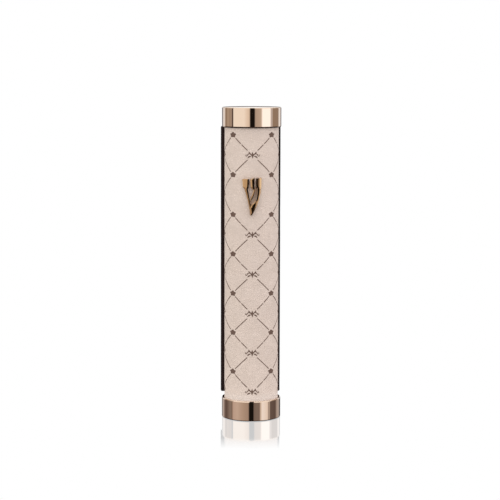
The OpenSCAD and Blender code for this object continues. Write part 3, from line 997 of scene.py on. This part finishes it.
# What polished metal sees round the case: panels and gaps by azimuth in degrees, 0 towards the front
# and positive to the right, each with the colour of its light. The first list is for level rays, the
# second for rays that run down to the floor, the third for rays that rise over the panels.
LEVEL = [
    (-180, (0.16, 0.15, 0.16)), (-153, (0.20, 0.20, 0.22)), (-149, (0.82, 0.84, 0.87)),
    (-132, (0.82, 0.84, 0.87)), (-127, (0.42, 0.34, 0.29)), (-118, (0.27, 0.21, 0.16)),
    (-109, (0.46, 0.38, 0.31)), (-97, (0.36, 0.29, 0.24)), (-86, (0.40, 0.34, 0.30)),
    (-84.6, (0.08, 0.055, 0.05)), (-79.4, (0.08, 0.055, 0.05)), (-77, (0.94, 0.92, 0.88)),
    (-32, (0.95, 0.92, 0.88)), (-22, (0.85, 0.78, 0.71)), (-11, (0.74, 0.65, 0.57)),
    (-7.5, (0.010, 0.008, 0.007)), (9, (0.010, 0.008, 0.007)), (12, (0.46, 0.39, 0.34)),
    (35, (0.56, 0.48, 0.42)), (41, (1.2, 1.24, 1.3)), (75, (1.2, 1.24, 1.3)), (78, (0.55, 0.52, 0.53)),
    (86, (0.53, 0.50, 0.51)), (88.5, (0.31, 0.24, 0.19)), (125, (0.30, 0.24, 0.20)),
    (129, (0.86, 0.88, 0.93)), (147, (0.86, 0.88, 0.93)), (151, (0.18, 0.17, 0.18)),
    (180, (0.16, 0.15, 0.16)),
]
DOWN = [
    (-180, (0.10, 0.09, 0.09)), (-160, (0.10, 0.09, 0.09)), (-152, (0.62, 0.60, 0.60)),
    (-140, (0.40, 0.35, 0.34)), (-127, (0.16, 0.12, 0.11)), (-116, (0.12, 0.09, 0.08)),
    (-106, (0.18, 0.14, 0.125)), (-92, (0.27, 0.23, 0.21)), (-87, (0.20, 0.165, 0.15)),
    (-81, (0.32, 0.25, 0.21)), (-77, (0.54, 0.44, 0.40)), (-58, (0.58, 0.49, 0.44)),
    (-43, (0.50, 0.41, 0.36)), (-31, (0.45, 0.365, 0.31)), (-13, (0.38, 0.30, 0.26)),
    (-9, (0.010, 0.008, 0.007)), (7, (0.010, 0.008, 0.007)), (9, (0.19, 0.15, 0.135)),
    (22, (0.22, 0.18, 0.16)), (31, (0.21, 0.165, 0.15)), (37, (0.72, 0.64, 0.58)),
    (43, (0.93, 0.93, 0.96)), (67, (0.83, 0.77, 0.73)), (70, (0.33, 0.28, 0.26)),
    (75, (0.54, 0.48, 0.44)), (80, (0.14, 0.11, 0.10)), (110, (0.12, 0.09, 0.08)),
    (121, (0.42, 0.37, 0.35)), (138, (0.46, 0.44, 0.44)), (150, (0.08, 0.07, 0.07)),
    (180, (0.08, 0.07, 0.07)),
]
ABOVE = [
    (-11, (1.0, 0.97, 0.93)), (-7.5, (0.010, 0.008, 0.007)), (9, (0.010, 0.008, 0.007)),
    (12, (1.0, 0.97, 0.93)),
]


def make_world():
    """White to the eye, soft and nearly even to what isn't shiny, and panels with gaps to metal."""
    world = bpy.data.worlds.new("studio")
    bpy.context.scene.world = world
    world.use_nodes = True
    tree = world.node_tree
    tree.nodes.clear()
    way = add(tree, "SeparateXYZ", [("Vector", add(tree, "TexCoord").outputs["Generated"])])
    forward = math_node(tree, "MULTIPLY", way.outputs["Y"], -1.0)
    azimuth = math_node(tree, "ARCTAN2", way.outputs["X"], forward)
    share = math_node(tree, "MULTIPLY_ADD", azimuth, 1 / TAU, 0.5)
    level, down = (ramp(tree, share, [(0.5 + a / 360, c) for a, c in stops]) for stops in (LEVEL, DOWN))
    up = way.outputs["Z"]

    def band(low, high, under, over):
        """One colour under a height of the ray's direction and another over it."""
        return mix_colour(tree, remap(tree, up, low, high, interpolation_type="SMOOTHSTEP"), under, over)

    panels = band(-0.17, -0.07, down, level)
    panels = band(-0.42, -0.28, (0.03, 0.02, 0.02), panels)
    gap = ramp(tree, share, [(0.5 + a / 360, c) for a, c in ABOVE])
    panels = band(0.30, 0.50, panels, gap)
    panels = band(0.80, 0.95, panels, (1.0, 0.97, 0.93))
    behind = remap(tree, way.outputs["Y"], 0.9, 0.97)
    far = band(0.045, 0.06, (0.16, 0.13, 0.12), (1.0, 1.0, 1.0))
    far = band(-0.04, -0.02, panels, far)
    panels = mix_colour(tree, behind, panels, far)
    lift = math_node(tree, "MULTIPLY_ADD", math_node(tree, "MAXIMUM", up, 0.0), 0.9, 1.0)
    soft = add(tree, "CombineColor", [(0, lift), (1, lift), (2, lift)]).outputs[0]
    tint = mix_colour(tree, remap(tree, way.outputs["X"], -1.0, 1.0), (0.97, 0.97, 0.96), (1.0, 0.98, 1.03))
    soft = mix_colour(tree, 1.0, soft, tint, "MULTIPLY")
    rays = add(tree, "LightPath")
    seen = mix_colour(tree, rays.outputs["Is Glossy Ray"], soft, panels)
    seen = mix_colour(tree, rays.outputs["Is Camera Ray"], seen, (1.0, 1.0, 1.0))
    background = add(tree, "Background", [("Color", seen), ("Strength", 1.0)])
    output = add(tree, "OutputWorld")
    tree.links.new(background.outputs[0], output.inputs["Surface"])


def make_floor():
    """A white floor that glows most round the foot, and mirrors what stands on it faintly in a ring that
    fades outwards."""
    half, under = 3.0, -1e-5
    mesh = bpy.data.meshes.new("studio_floor")
    mesh.from_pydata([(-half, -half, under), (half, -half, under), (half, half, under),
                      (-half, half, under)], [], [(0, 1, 2, 3)])
    floor = bpy.data.objects.new("studio_floor", mesh)
    bpy.context.scene.collection.objects.link(floor)
    mat = bpy.data.materials.new("pale_floor")
    mat.use_nodes = True
    tree = mat.node_tree
    tree.nodes.clear()
    place = add(tree, "TexCoord").outputs["Object"]
    reach = add(tree, "VectorMath", [(0, place)], operation="LENGTH").outputs["Value"]
    near = remap(tree, reach, 14 * MM, 45 * MM, 0.85, -0.35)
    rays = add(tree, "LightPath")
    near = math_node(tree, "MULTIPLY_ADD", near, rays.outputs["Is Diffuse Ray"], 1.0)
    glow = add(tree, "Emission", [("Color", (1, 1, 1, 1)), ("Strength", near)])
    sheen = add(tree, "BsdfGlossy", [("Color", (1, 1, 1, 1)), ("Roughness", 0.05)])
    share = remap(tree, reach, 50 * MM, 72 * MM, 0.41, 0.0)
    both = add(tree, "MixShader", [(0, share), (1, glow.outputs[0]), (2, sheen.outputs[0])])
    output = add(tree, "OutputMaterial")
    tree.links.new(both.outputs[0], output.inputs["Surface"])
    mesh.materials.append(mat)
    floor.visible_glossy = False


def make_light(name, size, energy, location, colour):
    """A square soft box that faces the middle of the case and isn't seen in the metal."""
    data = bpy.data.lights.new(name, "AREA")
    data.shape, data.size, data.energy, data.color = "SQUARE", size, energy, colour
    light = bpy.data.objects.new(name, data)
    light.location = location
    aim = np.array([0, 0, 0.075]) - np.array(location)
    light.rotation_euler = (math.atan2(math.hypot(aim[0], aim[1]), -aim[2]), 0, math.atan2(-aim[0], aim[1]))
    light.visible_camera = False
    light.visible_glossy = False
    bpy.context.scene.collection.objects.link(light)


make_camera()
make_world()
make_floor()
make_light("key_left", 0.5, 0.35, (-0.6, -0.55, 0.45), (1.0, 0.98, 0.95))
bpy.context.scene.view_settings.view_transform = "Standard"

make_caps()
make_plugs()
make_tube()
make_leather_wrap()
make_print()
make_letter()
make_board_wrap()
make_wall_tape()
make_pad()
make_scroll()
make_sleeve()
for cad_node, finish in (("back_board", board_wood), ("saddle_adhesive", glue_film)):
    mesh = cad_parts[cad_node].data
    mesh.materials.clear()
    mesh.materials.append(finish)
